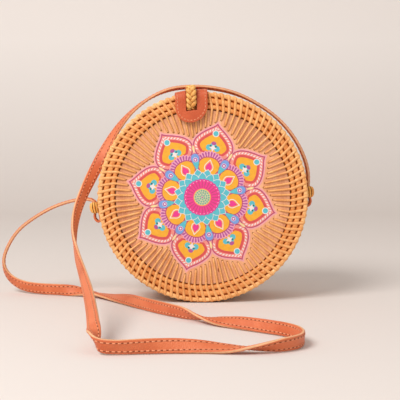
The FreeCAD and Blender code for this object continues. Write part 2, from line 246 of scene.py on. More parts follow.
def math_node(tree, operation, first, second):
    made = node(tree, "Math")
    made.operation = operation
    feed(tree, made.inputs[0], first)
    feed(tree, made.inputs[1], second)
    return made.outputs[0]


def ramp(tree, factor, stops):
    """A colour ramp with stops of (place, colour)."""
    made = node(tree, "ValToRGB")
    elements = made.color_ramp.elements
    while len(elements) < len(stops):
        elements.new(1.0)
    for element, (place, colour) in zip(elements, stops):
        element.position = place
        element.color = (*colour, 1)
    tree.links.new(factor, made.inputs[0])
    return made.outputs[0]


def mix(tree, factor, first, second):
    """From the first to the second, each a colour or a socket."""
    made = node(tree, "Mix")
    made.data_type = "RGBA"
    feed(tree, made.inputs[0], factor)
    for number, value in ((6, first), (7, second)):
        feed(tree, made.inputs[number], (*value, 1) if isinstance(value, tuple) else value)
    return made.outputs[2]


def noise(tree, scale, stretch=(1, 1, 1), detail=3.0, distortion=0.0):
    place = node(tree, "Mapping", Vector=place_on_piece(tree), Scale=stretch).outputs[0]
    made = node(tree, "TexNoise", Vector=place, Scale=scale, Detail=detail, Distortion=distortion)
    return made.outputs[0]


def bump(tree, shader, pattern, height):
    made = node(tree, "Bump", Distance=height, Height=pattern)
    tree.links.new(made.outputs[0], shader.inputs["Normal"])


def painted_crevice_shade(tree, colour, deep, reach):
    """Painted shade: the colour goes over to a deep one where the surface is closed in within that reach,
    where shade falls.
    """
    made = node(tree, "AmbientOcclusion", Distance=reach * mm)
    made.samples = 12
    share = ramp(tree, made.outputs["AO"], [(0.25, (0, 0, 0)), (0.85, (1, 1, 1))])
    return mix(tree, share, deep, colour)


def mix_tones(tree, first, second, share):
    """Two patterns added up, the first with that share."""
    part = math_node(tree, "MULTIPLY", first, share)
    return math_node(tree, "ADD", part, math_node(tree, "MULTIPLY", second, 1 - share))


def cane(name, light, dark, deep, reach=3.0):
    """Split cane: streaked from light to dark, with fine fibres, and a deep brown of painted shade where it
    is closed in.
    """
    material, tree, shader = graph(name, 0.5, coat=0.06)
    patches = noise(tree, 110)
    fibres = noise(tree, 900, detail=2.0)
    tone = mix_tones(tree, patches, fibres, 0.55)
    colour = ramp(tree, tone, [(0.36, srgb(*dark)), (0.6, srgb(*light))])
    # The deep colour is painted shade, laid in the grooves and gaps where the surface is closed in.
    tree.links.new(painted_crevice_shade(tree, colour, srgb(*deep), reach), shader.inputs["Base Color"])
    bump(tree, shader, fibres, 0.0002)
    return material


def leather(name, light, dark):
    """Smooth leather with pale and dark patches and a fine grain of cells."""
    material, tree, shader = graph(name, 0.5, sheen=0.05)
    patches = noise(tree, 40, detail=4.0, distortion=0.4)
    colour = ramp(tree, patches, [(0.3, srgb(*dark)), (0.7, srgb(*light))])
    tree.links.new(colour, shader.inputs["Base Color"])
    cells = node(tree, "TexVoronoi", Vector=place_on_piece(tree), Scale=1100)
    grain = math_node(tree, "ADD", cells.outputs["Distance"], noise(tree, 400))
    bump(tree, shader, grain, 0.00025)
    return material


def plain(name, tone, spread=0.12):
    """A colour that wanders a little, for thread and paint."""
    material, tree, shader = graph(name, 0.6)
    colour = srgb(*tone)
    darker = tuple(value * (1 - spread) for value in colour)
    wander = noise(tree, 300)
    tree.links.new(ramp(tree, wander, [(0.3, darker), (0.7, colour)]), shader.inputs["Base Color"])
    bump(tree, shader, wander, 0.00008)
    return material


def painted_wood():
    """Peach-toned plywood with upright grain and one knot, and painted shade where it is closed in."""
    material, tree, shader = graph("panel_wood", 0.5)
    grain = noise(tree, 60, stretch=(4, 1, 0.22), detail=6.0, distortion=0.5)
    fine = noise(tree, 420, stretch=(3, 1, 0.12))
    tone = mix_tones(tree, grain, fine, 0.7)
    stops = [(0.3, srgb(218, 140, 96)), (0.5, srgb(236, 168, 120)), (0.7, srgb(246, 188, 144))]
    colour = ramp(tree, tone, stops)
    from_knot = node(tree, "Mapping", Vector=place_on_piece(tree))
    from_knot.vector_type = "TEXTURE"
    from_knot.inputs["Location"].default_value = (knot_x * mm, 0, knot_z * mm)
    from_knot.inputs["Scale"].default_value = (knot_width * mm / 2, 1, knot_height * mm / 2)
    reach = node(tree, "VectorMath", Vector=from_knot.outputs[0])
    reach.operation = "LENGTH"
    knot = ramp(tree, reach.outputs["Value"], [(0.45, (1, 1, 1)), (1.0, (0, 0, 0))])
    colour = mix(tree, knot, colour, srgb(150, 66, 30))
    # Painted shade: the wood darkens to brown where it is closed in, beside the strands and under the rim.
    tree.links.new(painted_crevice_shade(tree, colour, srgb(170, 92, 46), 1.2), shader.inputs["Base Color"])
    bump(tree, shader, fine, 0.0001)
    return material


# The third colour of each cane is painted shade, laid where its surface is closed in.
pale_cane = cane("pale_cane", (250, 204, 146), (232, 164, 98), (176, 96, 30))
strand_cane = cane("strand_cane", (244, 180, 112), (222, 144, 74), (182, 90, 24), 1.6)
rim_cane = cane("rim_cane", (240, 164, 90), (212, 122, 50), (208, 104, 26))
edge_cane = cane("edge_cane", (246, 194, 128), (226, 148, 74), (206, 106, 30))
rim_binding = cane("rim_binding", (244, 182, 118), (216, 140, 76), (160, 84, 28))
coil_cane = cane("coil_cane", (240, 180, 116), (208, 134, 72), (150, 78, 28))
wall_cane = cane("wall_cane", (236, 174, 108), (202, 128, 66), (146, 76, 26))
plait_cane = cane("plait_cane", (246, 196, 112), (218, 138, 52), (160, 76, 8), 2.6)
lug_cane = cane("lug_cane", (255, 194, 96), (228, 122, 28), (176, 84, 10), 2.4)
strap_leather = leather("strap_leather", (226, 122, 74), (204, 96, 50))
tab_leather = leather("tab_leather", (208, 93, 46), (186, 73, 30))
raw_edge = plain("raw_leather_edge", (236, 178, 130), spread=0.2)
thread = plain("thread", (242, 156, 112), spread=0.2)
# Painted shade for the needle holes in the strap.
hole_shade = plain("hole_shade", (146, 66, 28), spread=0.2)
wood = painted_wood()


# Meshes


def linked(name, data):
    made = bpy.data.objects.new(name, data)
    bpy.context.scene.collection.objects.link(made)
    return made


def piece(name, vertices, faces, material, smooth=True):
    """An object from millimetre vertices and its faces."""
    mesh = bpy.data.meshes.new(name)
    mesh.from_pydata([tuple(v) for v in np.asarray(vertices, float) * mm], [], faces)
    mesh.validate()
    mesh.polygons.foreach_set("use_smooth", [smooth] * len(mesh.polygons))
    mesh.materials.append(material)
    return linked(name, mesh)


def settle(made, body, slot, *nodes):
    """The piece rides on a body and stands for the nodes, which are hidden; the slot is not used."""
    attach(made, body)
    if nodes:
        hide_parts(*nodes)


def evaluated_mesh(source):
    bpy.context.view_layer.update()
    return bpy.data.meshes.new_from_object(source.evaluated_get(bpy.context.evaluated_depsgraph_get()))


def thickened(made, thickness):
    """Gives a sheet its thickness, half of it to each side."""
    solid = made.modifiers.new("thickness", "SOLIDIFY")
    solid.thickness = thickness * mm
    solid.offset = 0.0


def apply_modifiers(made):
    mesh = evaluated_mesh(made)
    made.modifiers.clear()
    made.data = mesh


def turns(count):
    """The angles that divide a full turn into that many."""
    return [tau * number / count for number in range(count)]


def unit(rows):
    return rows / np.linalg.norm(rows, axis=1)[:, None]


def runs(line):
    """Unit directions along a line at each of its points."""
    return unit(np.gradient(line, axis=0))


def run_lengths(points):
    """How far along a line each of its points is."""
    return np.concatenate(([0], np.cumsum(np.linalg.norm(np.diff(points, axis=0), axis=1))))


def read_at(table, lengths, places):
    """Rows of a table, read between its own rows at places along a line."""
    return np.stack([np.interp(places, lengths, column) for column in table.T], -1)


def spread(points, spacing):
    """Evenly spaced points along a smooth line through the given ones, and their places on it."""
    points = np.asarray(points, float)
    ends = np.vstack((2 * points[0] - points[1], points, 2 * points[-1] - points[-2]))
    fine = []
    for before, start, end, after in zip(ends, ends[1:], ends[2:], ends[3:]):
        for share in np.arange(0, 1, 0.05):
            linear = (end - before) * share
            square = (2 * before - 5 * start + 4 * end - after) * share**2
            cube = (3 * start - before - 3 * end + after) * share**3
            fine.append((2 * start + linear + square + cube) / 2)
    fine = np.array(fine + [points[-1]])
    lengths = run_lengths(fine)
    places = np.linspace(0, lengths[-1], max(2, round(lengths[-1] / spacing)))
    return read_at(fine, lengths, places), places


def on_bag(degrees, radius, y):
    turn = radians(degrees)
    return (-radius * sin(turn), y, centre_z + radius * cos(turn))


def rim_frame(degrees):
    """Outward and sideways directions on the rim at an angle, seen from the front."""
    turn = radians(degrees)
    out = np.array([-sin(turn), 0, cos(turn)])
    aside = np.array([cos(turn), 0, sin(turn)])
    return out, aside


def at_rim(out, aside, x, y, radius):
    return np.array([0, y, centre_z]) + out * radius + aside * x


def grid_faces(rows, columns, close_rows, close_columns, start=0):
    """Quads between rows of points, each row being columns long."""
    faces = []
    for row in range(rows if close_rows else rows - 1):
        here = start + row * columns
        after = start + (row + 1) % rows * columns
        for column in range(columns if close_columns else columns - 1):
            beside = (column + 1) % columns
            faces.append((here + column, after + column, after + beside, here + beside))
    return faces


def lathe(name, material, section, count):
    """A closed ring: section(degrees) gives its closed outline of (radius, y) at each angle.

    The outline is taken backwards, because the ring's faces then look out.
    """
    outlines = np.array([section(360.0 * number / count)[::-1] for number in range(count)])
    angles = np.array(turns(count))[:, None]
    radius, depth = outlines[..., 0], outlines[..., 1]
    places = np.stack((-radius * np.sin(angles), depth, centre_z + radius * np.cos(angles)), -1)
    faces = grid_faces(count, outlines.shape[1], True, True)
    return piece(name, places.reshape(-1, 3), faces, material)


def sweep(name, material, paths, section, closed=False):
    """One section led along each path, whose steps are (point, up, width, height)."""
    vertices, faces = [], []
    across_shares, up_shares = np.array(section).T[..., None]
    for path in paths:
        points, ups = (np.array([step[part] for step in path], float) for part in (0, 1))
        widths, heights = (np.array([step[part] for step in path])[:, None, None] for part in (2, 3))
        if closed:
            along = np.roll(points, -1, 0) - np.roll(points, 1, 0)
        else:
            along = np.gradient(points, axis=0)
        across = unit(np.cross(along, ups))
        ups = unit(np.cross(across, along))
        ring = points[:, None] + across[:, None] * across_shares * widths / 2
        ring = ring + ups[:, None] * up_shares * heights
        start = len(vertices)
        count, corners = ring.shape[:2]
        vertices.extend(ring.reshape(-1, 3))
        faces.extend(grid_faces(count, corners, closed, True, start))
        if not closed:
            faces.append(tuple(start + corner for corner in range(corners)))
            last = start + (count - 1) * corners
            faces.append(tuple(last + corner for corner in reversed(range(corners))))
    return piece(name, vertices, faces, material)


# Sections as (share of half the width, share of the height), anticlockwise, so that faces look out
half_round = [(1, 0), (0.85, 0.5), (0.45, 0.92), (0, 1), (-0.45, 0.92), (-0.85, 0.5), (-1, 0)]
cushion = [(1, 0), (0.8, 0.55), (0.35, 0.95), (-0.35, 0.95), (-0.8, 0.55), (-1, 0), (-0.6, -0.2)]
cushion += [(0.6, -0.2)]
cord_round = [(cos(turn), sin(turn) / 2) for turn in turns(8)]
thread_round = cord_round[::2]

# The strap's corner, with a groove where the stitches lie
strap_corner = [(1.0, 0.6), (0.9, 1.0), (0.68, 0.86), (0.48, 1.0)]
strap_section = [(-across, -up) for across, up in strap_corner]
strap_section += [(across, -up) for across, up in reversed(strap_corner)]
strap_section += strap_corner
strap_section += [(-across, up) for across, up in reversed(strap_corner)]
strap_edge_columns = (7, 15)


# Front rim: three bound hoops


def strand_angle(number, radius):
    """Strands run straight out over the panel and lean over once they reach the rim."""
    lean = max(0.0, (radius - slant_start) / (rim_radius - slant_start)) * rim_slant
    return (number + 0.5) * strand_step + lean


def between_strands(degrees, radius):
    """0 under a strand and 1 halfway to the next one."""
    phase = (degrees - strand_angle(0, radius)) / strand_step
    return sin(pi * (phase % 1.0))


def rim_hoop(name, radius, half, material):
    """A split cane that swells between the strands bound over it."""
    side, shoulder, bound_crown, swell = 1.9, 2.35, 3.9, 0.9

    def section(degrees):
        middle = between_strands(degrees, radius)
        crown = bound_crown + swell * middle**0.6
        top = 0.97 - 0.2 * middle
        shape = [(1.0, 0.0), (1.0, side), (top, shoulder), (top * 0.97, crown - 1.0)]
        shape += [(top * 0.76, crown - 0.32), (top * 0.34, crown)]
        outline = [(-share, up) for share, up in shape] + shape[::-1]
        return [(min(radius + share * half, rim_radius - 1.0), foot_y - up) for share, up in outline]

    return lathe(name, material, section, strand_count * 10)


def hole_radius(angle):
    """How far out the strand's hole lies, just outside the nearest painted petal."""
    step = 360.0 / petal_count
    from_tip = abs((angle - petal_turn + step / 2) % step - step / 2)
    outline = outline_of(petal_side, hole_gap)
    side = [(x, radius) for x, radius in outline if x >= 0 and radius > ray_ring_radius]
    side.sort(key=lambda point: atan2(*point))
    angles = np.degrees([atan2(x, radius) for x, radius in side])
    return float(np.interp(from_tip, angles, [hypot(x, radius) for x, radius in side]))


# A strand lies flatter and wider where it is bound over the rim
rim_width_share = 1.38

# Radius, y and height of a strand round the rim's edge, and how far it still faces the front there
strand_edge = [(98.85, -32.9, 0.8, 0.7), (99.15, -31.9, 0.82, 0.35)]
strand_edge += [(99.18, -30.6, 0.8, 0.0), (98.9, -29.4, 0.8, 0.0)]


def strand_face(hole, wide):
    """(radius, y, width, height) of a strand from its hole to the rim's last hoop."""
    climb = [(hole + 0.1, panel_y + 0.9), (hole + 0.45, panel_y + 0.1), (hole + 1.2, panel_y - 0.3)]
    path = [(radius, y, wide * 0.75, 0.85) for radius, y in climb]
    start, end = (hole + 2.6, panel_y - 0.35), (82.6, between_y)
    for share in (0.0, 0.25, 0.5, 0.75, 1.0):
        radius, y = (first + (last - first) * share for first, last in zip(start, end))
        path.append((radius, y, wide, 1.1))
    inner, middle, outer = hoop_radii
    over = [(83.9, between_y - 0.25), (inner - 0.4, crown_y), (inner + 0.9, crown_y)]
    over += [(88.2, between_y), (middle - 1.2, crown_y), (middle + 1.2, crown_y)]
    over += [(94.5, between_y), (outer - 1.2, crown_y), (outer, crown_y), (98.3, between_y)]
    return path + [(radius, y, wide * rim_width_share, 0.95) for radius, y in over]


def strand_path(number):
    """One strand: up out of its hole, straight to the rim, over three hoops and round the edge."""
    hole = hole_radius(strand_angle(number, 0))
    wide = random.uniform(1.9, 2.25)
    front = Vector((0, -1, 0))
    steps = []
    for radius, y, width, height in strand_face(hole, wide):
        steps.append((on_bag(strand_angle(number, radius), radius, y), front, width, height))
    for radius, y, height, frontal in strand_edge:
        angle = strand_angle(number, rim_radius) + (y - between_y) * 0.1
        out = Vector(on_bag(angle, 1, 0)) - Vector((0, 0, centre_z))
        up = (out * (1 - frontal) + front * frontal).normalized()
        steps.append((on_bag(angle, radius, y), up, wide * rim_width_share, height))
    return steps


def front_rim():
    nodes = ("front_inner_hoop", "front_middle_hoop", "front_outer_hoop")
    materials = (rim_cane, rim_cane, edge_cane)
    for cad_node, radius, half, material in zip(nodes, hoop_radii, hoop_halves, materials):
        made = rim_hoop(f"bound_{cad_node}", radius, half, material)
        settle(made, "lid", "rim_cane", cad_node)
    paths = [strand_path(number) for number in range(strand_count)]
    made = sweep("binding_strands", strand_cane, paths, half_round)
    settle(made, "lid", "strand_cane", "front_strands")


# Front panel with a drilled hole for each strand


def circle(curve, x, z, radius, count):
    spline = curve.splines.new("POLY")
    spline.points.add(count - 1)
    for turn, point in zip(turns(count), spline.points):
        point.co = ((x + radius * cos(turn)) * mm, (z + radius * sin(turn)) * mm, 0, 1)
    spline.use_cyclic_u = True


def curve_object(name):
    curve = bpy.data.curves.new(name, "CURVE")
    return curve, linked(name, curve)


def front_panel():
    """A disc with its holes, as a filled flat curve that is made into a mesh."""
    curve, source = curve_object("panel_outline")
    curve.dimensions = "2D"
    curve.fill_mode = "BOTH"
    curve.extrude = (panel_back_y - panel_y) / 2 * mm
    circle(curve, 0, 0, panel_radius, 240)
    for number in range(strand_count):
        angle = strand_angle(number, 0)
        x, _, z = on_bag(angle, hole_radius(angle), 0)
        circle(curve, x, z - centre_z, drill_radius, 12)
    source.rotation_euler = (pi / 2, 0, 0)
    source.location = (0, (panel_y + panel_back_y) / 2 * mm, centre_z * mm)
    mesh = evaluated_mesh(source)
    mesh.transform(source.matrix_world)
    bpy.data.objects.remove(source)
    mesh.materials.clear()
    mesh.materials.append(wood)
    settle(linked("drilled_panel", mesh), "lid", "painted_wood", "front_panel")


# The strap


def strap_line():
    """Points along the strap's NURBS route, in millimetres, with the way across at each."""
    curve, source = curve_object("strap_line")
    curve.dimensions = "3D"
    curve.resolution_u = 10
    spline = curve.splines.new("NURBS")
    spline.points.add(len(strap_route) - 1)
    route = np.array(strap_route, float)
    for point, place in zip(spline.points, route[:, :3] * mm):
        point.co = (*place, 1)
    spline.order_u = 3
    spline.use_endpoint_u = True
    points = np.array([tuple(v.co) for v in evaluated_mesh(source).vertices]) / mm
    bpy.data.objects.remove(source)
    last = len(route) - 2
    knots = [0.0] + [number + 0.5 for number in range(last)] + [float(last)]
    return points, read_at(unit(route[:, 3:]), knots, np.linspace(0, last, len(points)))


def strap_frames(points, across):
    """Unit directions across the strap and up from it, square to its line."""
    along = runs(points)
    across = unit(across - along * np.sum(across * along, axis=1)[:, None])
    return across, np.cross(along, across)


def strap():
    points, across = strap_line()
    across, ups = strap_frames(points, across)
    path = [(point, up, strap_width, strap_thickness / 2) for point, up in zip(points, ups)]
    made = sweep("leather_strap", strap_leather, [path], strap_section)
    made.data.materials.append(raw_edge)
    for polygon in made.data.polygons:
        if polygon.index % len(strap_section) in strap_edge_columns:
            polygon.material_index = 1
    settle(made, "shell", "strap_leather", "shoulder_strap")
    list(strap_stitches(points, across, ups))


def strap_stitches(points, across, ups):
    """Two rows of thread on each side of the strap, with a dark oval of painted shade for the needle hole
    between stitches.
    """
    lengths = run_lengths(points)
    pitch, margin, row_share = 4.1, 10.0, 0.3
    shares = (-0.5, -0.3, 0, 0.3, 0.5)

    def run(middle, row, side, length, width, dips):
        places = middle + np.array(shares) * length
        up = read_at(ups, lengths, places) * side
        centres = read_at(points, lengths, places)
        centres = centres + read_at(across, lengths, places) * row * strap_width * row_share
        centres = centres + up * strap_thickness / 2 * np.array(dips)[:, None]
        return [(centre, way, width, 0.6) for centre, way in zip(centres, up)]

    threads, holes = [], []
    for number in range(int((lengths[-1] - 2 * margin) / pitch)):
        middle = margin + number * pitch
        for row, side in ((-1, -1), (-1, 1), (1, -1), (1, 1)):
            threads.append(run(middle, row, side, 2.6, 1.1, (0.75, 1.02, 1.1, 1.02, 0.75)))
            # Each needle hole is a dark oval laid on the leather: painted shade where the hole would be.
            holes.append(run(middle + pitch / 2, row, side, 1.8, 1.3, (0.8, 0.86, 0.86, 0.86, 0.8)))
    stitches = sweep("strap_stitching", thread, threads, thread_round)
    dots = sweep("strap_hole_shades", hole_shade, holes, thread_round)
    for made in (stitches, dots):
        settle(made, "shell", "strap_leather")
    return [stitches, dots]


# Walls and edges of the shells


def notch_limit(degrees, y, limit, out):
    """Keeps a wall clear of the two lashings at the bottom."""
    x = -edge_hoop_radius * sin(radians(degrees))
    if abs(abs(x) - lashing_offset) < lashing_width / 2 + 0.4 and cos(radians(degrees)) < 0:
        return min(y, limit) if out < 0 else max(y, limit)
    return y


def woven_wall(name, start, end, rows, out, limit):
    """Rows of coiled cane, each bound to the next with stitches that lean."""
    pitch = (end - start) / rows
    groove, row_rise, stitch_rise, lean, ridge = 1.15, 0.75, 0.4, 0.35, 0.5

    def section(degrees):
        outline = []
        for step in range(rows * 4 + 1):
            row = min(step // 4, rows - 1)
            within = step / 4 - row
            crown = sin(pi * within) ** 0.5 if 0 < within < 1 else 0.0
            phase = degrees / 360 * wall_stitches + 0.5 * (row % 2) + lean * within
            stitch = abs(sin(pi * phase)) ** 0.7
            radius = wall_outer - groove + crown * (row_rise + stitch_rise * stitch)
            outline.append((radius, start + pitch * step / 4))
        for step in range(rows * 2, -1, -1):
            outline.append((wall_inner + ridge * (1 - step % 2), start + pitch * step / 2))
        return [(radius, notch_limit(degrees, y, limit, out)) for radius, y in outline]

    return lathe(name, wall_cane, section, wall_stitches * 6)


def bound_hoop(name, material, radius, y, half_across, half_deep, wraps):
    """A cane hoop with a strand wound round it."""

    def section(degrees):
        outline = []
        for turn in turns(10):
            wind = abs(sin(pi * (degrees / 360 * wraps + turn / tau)))
            swell = 0.9 + 0.1 * wind**0.6
            across, deep = half_across * swell * cos(turn), half_deep * swell * sin(turn)
            outline.append((radius + across, y + deep))
        return outline

    return lathe(name, material, section, wraps * 6)


def shells():
    lid_wall = woven_wall("woven_lid_wall", foot_y, lid_wall_end, 6, -1, lid_notch_y)
    settle(lid_wall, "lid", "woven_cane", "lid_wall")
    back_wall = woven_wall("woven_back_wall", back_wall_start, back_wall_end, 13, 1, back_notch_y)
    settle(back_wall, "shell", "woven_cane", "back_wall")
    for name, y, body in (("lid_edge", lid_edge_y, "lid"), ("back_edge", back_edge_y, "shell")):
        made = bound_hoop(name, pale_cane, edge_hoop_radius, y, edge_half, edge_half, edge_wraps)
        settle(made, body, "rim_cane", f"{name}_hoop")
    rim = bound_hoop("back_rim", rim_binding, back_rim_radius, back_rim_y, 2.6, 2.2, back_rim_wraps)
    settle(rim, "shell", "rim_cane", "back_outer_hoop")


def coil_path():
    """The cane of the back disc, wound from the middle outwards, its last turn tapering off."""
    pitch, overlap, stitch, level, edge = 4.2, 0.2, 3.4, 39.5, 94.9
    first_turn, taper_turn = 0.15, edge / pitch - 0.5
    steps, turn, length = [], first_turn, 0.0
    while turn < taper_turn + 0.97:
        radius, width = pitch * turn, pitch
        if turn > taper_turn:
            width = pitch * (taper_turn + 1 - turn)
            radius = edge - width / 2
        width += overlap
        bound = abs(sin(pi * length / stitch)) ** 0.7
        height = (2.5 + 0.75 * bound) * (0.45 + 0.55 * width / (pitch + overlap))
        steps.append((on_bag(turn * 360, radius, level), (0, 1, 0), width, height))
        length += stitch / 4
        turn += stitch / 4 / (tau * radius)
    return steps


def coiled_back():
    """The back disc: one cane coiled from the middle outwards, with a knot over its start."""
    made = sweep("coiled_back_disc", coil_cane, [coil_path()], cord_round)
    settle(made, "shell", "coiled_cane", "back_panel")
    middle, reach, rise = np.array([0, 39.6, centre_z]), 2.6, 1.6
    knot = []
    for number in range(3):
        turn = pi * number / 3
        way = np.array([cos(turn), 0, sin(turn)])
        steps = []
        for share in np.linspace(-1, 1, 9):
            lift = np.array([0, rise * sqrt(max(0.0, 1 - share * share)), 0])
            steps.append((middle + way * share * reach + lift, (0, 1, 0), 1.6, 0.8))
        knot.append(steps)
    settle(sweep("back_centre_knot", pale_cane, knot, half_round), "shell", "coiled_cane")


def lashings():
    """Three turns of cane round the two edge hoops, on each side of the bottom."""
    strand, reach, thickness, points = 1.32, 2.8, 1.12, 28
    for side, cad_node in ((-1, "left_lashing"), (1, "right_lashing")):
        loops = []
        for beside in (-1, 0, 1):
            x = side * lashing_offset + beside * strand
            steps = []
            for turn in turns(points):
                up = (0, cos(turn), sin(turn))
                middle_y = back_edge_y if up[1] > 0 else lid_edge_y
                centre = (x, middle_y + reach * up[1], hinge_z + reach * up[2])
                steps.append((centre, up, strand, thickness))
            loops.append(steps)
        made = sweep(f"wound_{cad_node}", pale_cane, loops, half_round, closed=True)
        settle(made, "shell", "strand_cane", cad_node)


# Closure: plaited hoop, leather tab

# The hoop's line as (y, radius), from the lid's front over the rim and down behind it
closure_path = [(-33.2, 84.4), (-35.4, 84.9), (-37.2, 86.4), (-38.5, 89.5), (-39.5, 93)]
closure_path += [(-40.2, 96.5), (-40.45, 99.8), (-39.6, 102.8), (-37.2, 104.4), (-33, 104.6)]
closure_path += [(-27, 104.6), (-20.5, 104.5), (-17.3, 103.7), (-15.7, 101.8), (-15.45, 99.5)]
closure_path += [(-15.45, 96.8)]


def hung(x, radius):
    """The sideways place of a point of the closure, which hangs plumb and not towards the centre."""
    return x - tab_lean * max(0.0, tab_top_radius - radius)


def closure_plait():
    """Three flat canes that weave from side to side and over each other along the hoop."""
    plait_pitch, sway, rise, bed = 15.0, 3.0, 1.05, 0.8
    out, aside = rim_frame(closure_turn)
    line, places = spread(closure_path, 0.55)
    along = runs(line)
    paths = []
    for strand in range(3):
        steps = []
        for (y, radius), (run_y, run_r), place in zip(line, along, places):
            phase = tau * (place / plait_pitch + strand / 3)
            up = out * -run_y + np.array([0, run_r, 0])
            away = out - np.array([0, 1 if y < -30 else 0, 0])
            up = up if up @ away > 0 else -up
            centre = at_rim(out, aside, hung(sway * sin(phase), radius), y, radius)
            steps.append((centre + up * (rise * sin(2 * phase) - bed), up, 3.9, 1.7))
        paths.append(steps)
    made = sweep("plaited_closure", plait_cane, paths, cushion)
    settle(made, "lid", "plaited_cane", "closure_hoop")


def tab_profile(place):
    """(y, radius, outward y, outward radius) of the leather's middle, from the root to its end."""
    if place < tab_top_run:
        return tab_root_y - place, tab_top_radius, 0.0, 1.0
    place -= tab_top_run
    if place < tab_bend_run:
        out_y, out_r = -sin(place / tab_bend), cos(place / tab_bend)
        centre_y, centre_r = tab_front_y + tab_bend, tab_top_radius - tab_bend
        return centre_y + tab_bend * out_y, centre_r + tab_bend * out_r, out_y, out_r
    return tab_front_y, tab_top_radius - tab_bend - (place - tab_bend_run), -1.0, 0.0


def tab_point(place, x):
    """A point of the leather's middle surface and its outward direction."""
    out, aside = rim_frame(closure_turn)
    y, radius, out_y, out_r = tab_profile(place)
    sag = x * x / 2 / tab_top_radius * out_r
    centre = at_rim(out, aside, hung(x, radius), y, radius - sag)
    return centre, out * out_r + np.array([0, out_y, 0])


def tab_half_width(place):
    """Half the leather's width at a place along it, with its two round ends."""
    half = tab_width / 2
    into_end = max(0.0, half - place, place - tab_length + half)
    return sqrt(max(0.0, half * half - into_end**2))


def tab_rows():
    """Places along the leather, close together at its round ends and its bend."""
    half, gap = tab_width / 2, 0.4
    first = [half - half * cos(turn) for turn in np.radians(np.linspace(6, 90, 12))]
    last = [tab_length - place for place in reversed(first)]
    inner = list(np.linspace(half, tab_slit_start, 9))[1:]
    inner += list(np.linspace(tab_slit_start, tab_slit_end, 24))[1:]
    inner = [place for place in inner if place < last[0] - gap]
    last = [place for place in last if abs(place - tab_slit_end) > gap]
    return sorted(set(round(place, 4) for place in first + inner + last + [tab_slit_end]))


def leather_tab():
    """One strip of leather, sewn down behind, bent over the lid's corner and slit for the hoop."""
    rows = tab_rows()
    shares = (0.0, 0.3, 0.65, 0.88, 1.0)
    vertices = []
    for place in rows:
        half = tab_half_width(place)
        inner = min(tab_slit_half, 0.46 * half)
        left = [-(inner + (half - inner) * share) for share in reversed(shares)]
        for x in left + [-inner / 3, inner / 3] + [-x for x in reversed(left)]:
            vertices.append(tab_point(place, x)[0])
    columns = len(shares) * 2 + 2
    faces = []
    for index, face in enumerate(grid_faces(len(rows), columns, False, False)):
        row, column = divmod(index, columns - 1)
        slit = rows[row] >= tab_slit_start - 0.01 and rows[row + 1] <= tab_slit_end + 0.01
        if not slit or abs(column - len(shares)) > 1:
            faces.append(face)
    made = piece("closure_leather", vertices, faces, tab_leather)
    thickened(made, tab_thickness)
    rounded = made.modifiers.new("rounded", "BEVEL")
    rounded.width = 0.6 * mm
    rounded.segments = 3
    rounded.angle_limit = radians(50)
    apply_modifiers(made)
    x, y, z = pivot
    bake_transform(made)
    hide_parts("closure_flap", "flap_root")


def tab_edge_line(inset):
    """(place, x) just inside the leather's edge, all the way round."""
    half = tab_width / 2 - inset
    quarter = [radians(degrees) for degrees in range(0, 91, 6)]
    side = [(tab_width / 2 - half * cos(turn), half * sin(turn)) for turn in quarter]
    side.append((tab_length / 2, half))
    for turn in reversed(quarter):
        side.append((tab_length - tab_width / 2 + half * cos(turn), half * sin(turn)))
    return np.array(side + [(place, -x) for place, x in reversed(side[:-1])][:-1])


def tab_stitches():
    """Thread round the leather's edge; what lies before the pivot turns with the flap."""
    line = tab_edge_line(2.0)
    lengths = run_lengths(line)
    pitch, stitch, clear = 3.2, 2.1, 3.5
    root_paths, flap_paths = [], []
    for number in range(int(lengths[-1] / pitch)):
        middle = (number + 0.5) * pitch
        path = []
        for share, rise in ((-0.5, 0.75), (-0.25, 1.05), (0, 1.15), (0.25, 1.05), (0.5, 0.75)):
            centre, up = tab_point(*read_at(line, lengths, middle + share * stitch))
            path.append((centre + up * rise, up, 0.85, 0.5))
        y = tab_root_y - read_at(line, lengths, middle)[0]
        if y > pivot[1] + clear:
            root_paths.append(path)
        elif y < pivot[1] - clear:
            flap_paths.append(path)
    for name, body, paths in (("root", "shell", root_paths), ("flap", "flap", flap_paths)):
        settle(sweep(f"{name}_stitching", thread, paths, thread_round), body, "tab_leather")


def root_backing():
    """The second layer of leather, between the first and the wall."""
    inset, below, thickness = 0.5, 1.55, 1.0
    rows = [place for place in tab_rows() if tab_root_y - place > pivot[1] + 0.6]
    vertices = []
    for place in rows:
        half = max(0.2, tab_half_width(place) - inset)
        for share in np.linspace(-1, 1, 9):
            centre, up = tab_point(place, half * share)
            vertices.append(centre - up * below)
    made = piece("root_backing", vertices, grid_faces(len(rows), 9, False, False), tab_leather)
    thickened(made, thickness)
    apply_modifiers(made)
    settle(made, "shell", "tab_leather")


# Lugs and the strap's tails


def lug_arch():
    """The lug's line as (y, radius), from one foot on the wall over the strap to the other."""
    low_middle = (lug_foot_radius + lug_shoulder_radius) / 2
    rise = lug_top_radius - lug_shoulder_radius
    line = [(-lug_half_span, lug_foot_radius), (-lug_half_span, low_middle)]
    for degrees in range(180, -1, -20):
        turn = radians(degrees)
        line.append((lug_half_span * cos(turn), lug_shoulder_radius + rise * sin(turn)))
    line += [(lug_half_span, low_middle), (lug_half_span, lug_foot_radius)]
    return [(strap_y + y, radius) for y, radius in line]


